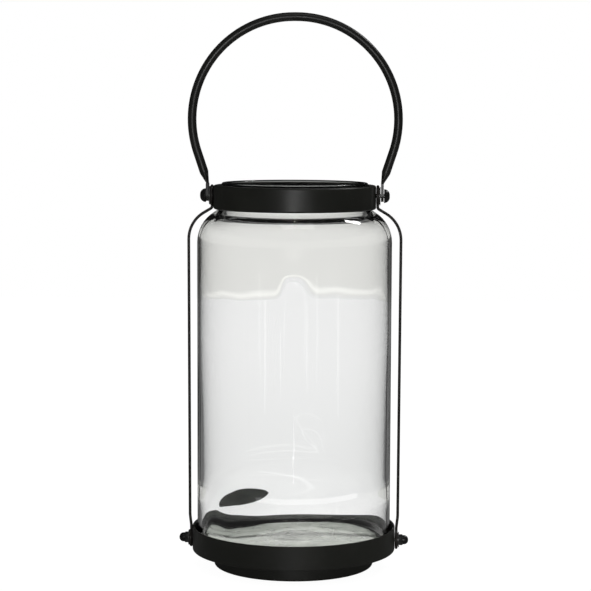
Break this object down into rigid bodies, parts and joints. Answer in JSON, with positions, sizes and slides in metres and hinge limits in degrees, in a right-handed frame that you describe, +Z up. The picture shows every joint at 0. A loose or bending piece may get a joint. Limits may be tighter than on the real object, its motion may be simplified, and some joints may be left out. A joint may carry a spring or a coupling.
{
  "type": "glass jar lantern",
  "caption": "Open glass jar lantern: clear blown jar held between a black steel collar and stepped base by side wires, with a swinging bail handle.",
  "frame": {"origin": "centre of the underside, on the surface that the lantern stands on", "axes": "+Z up through the jar's axis, +X along the collar's and the base's studs (the handle's pivot axis), front towards -Y"},
  "size_m": [0.1862, 0.164, 0.4451],
  "materials": {
    "clear_glass": "polished, mouth-blown",
    "black_sheet_steel": "satin black powder coat",
    "black_bar_steel": "satin black powder coat on round bar",
    "black_wire": "satin black coated spring wire",
    "black_fasteners": "semi-gloss black enamel",
    "black_rubber": "matt",
    "grey_felt": "pressed felt"
  },
  "bodies": {
    "lantern": {"glass_jar": "clear_glass", "top_collar": "black_sheet_steel", "neck_gasket": "black_rubber", "base_band": "black_sheet_steel", "base_pan": "black_sheet_steel", "jar_seat_pad": "black_rubber", "foot_pads": "grey_felt", "pan_rivets": "black_fasteners", "collar_stud_left": "black_fasteners", "pivot_washer_left": "black_fasteners", "handle_knob_left": "black_fasteners", "base_stud_left": "black_fasteners", "base_washer_left": "black_fasteners", "base_acorn_nut_left": "black_fasteners", "side_wire_left": "black_wire", "collar_stud_right": "black_fasteners", "pivot_washer_right": "black_fasteners", "handle_knob_right": "black_fasteners", "base_stud_right": "black_fasteners", "base_washer_right": "black_fasteners", "base_acorn_nut_right": "black_fasteners", "side_wire_right": "black_wire"},
    "handle": {"bail_handle": "black_bar_steel"}
  },
  "joints": [
    {"name": "handle_swing", "type": "hinge", "parent": "lantern", "child": "handle", "pos_m": [0, 0, 0.2997], "axis": [1, 0, 0], "range_deg": [-133, 133]}
  ]
}
